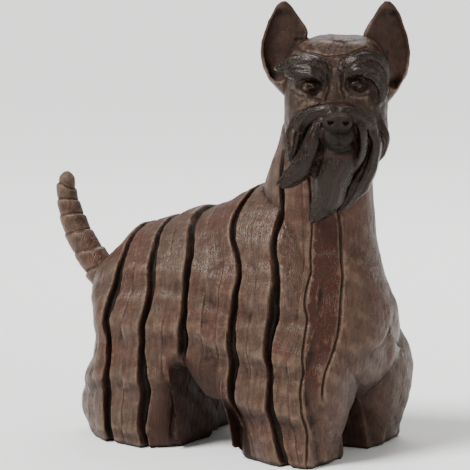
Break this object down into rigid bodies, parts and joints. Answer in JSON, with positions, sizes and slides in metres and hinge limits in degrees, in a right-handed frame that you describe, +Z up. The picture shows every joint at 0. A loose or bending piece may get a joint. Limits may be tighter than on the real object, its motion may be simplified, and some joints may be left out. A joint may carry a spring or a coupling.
{
  "type": "terrier statuette",
  "caption": "Standing terrier statuette with its head turned aside, long whiskers and a ringed tail, cast to look like carved upright planks of dark wood.",
  "frame": {"origin": "middle of the bounding box's underside, on the ground under the dog", "axes": "+Z up, +X the way the body heads, +Y the dog's left side; the head is turned to the dog's right"},
  "size_m": [0.3524, 0.1818, 0.39],
  "materials": {
    "cast_resin": "satin, painted as dark carved wood"
  },
  "bodies": {
    "root": {"terrier_statuette": "cast_resin"}
  },
  "joints": []
}
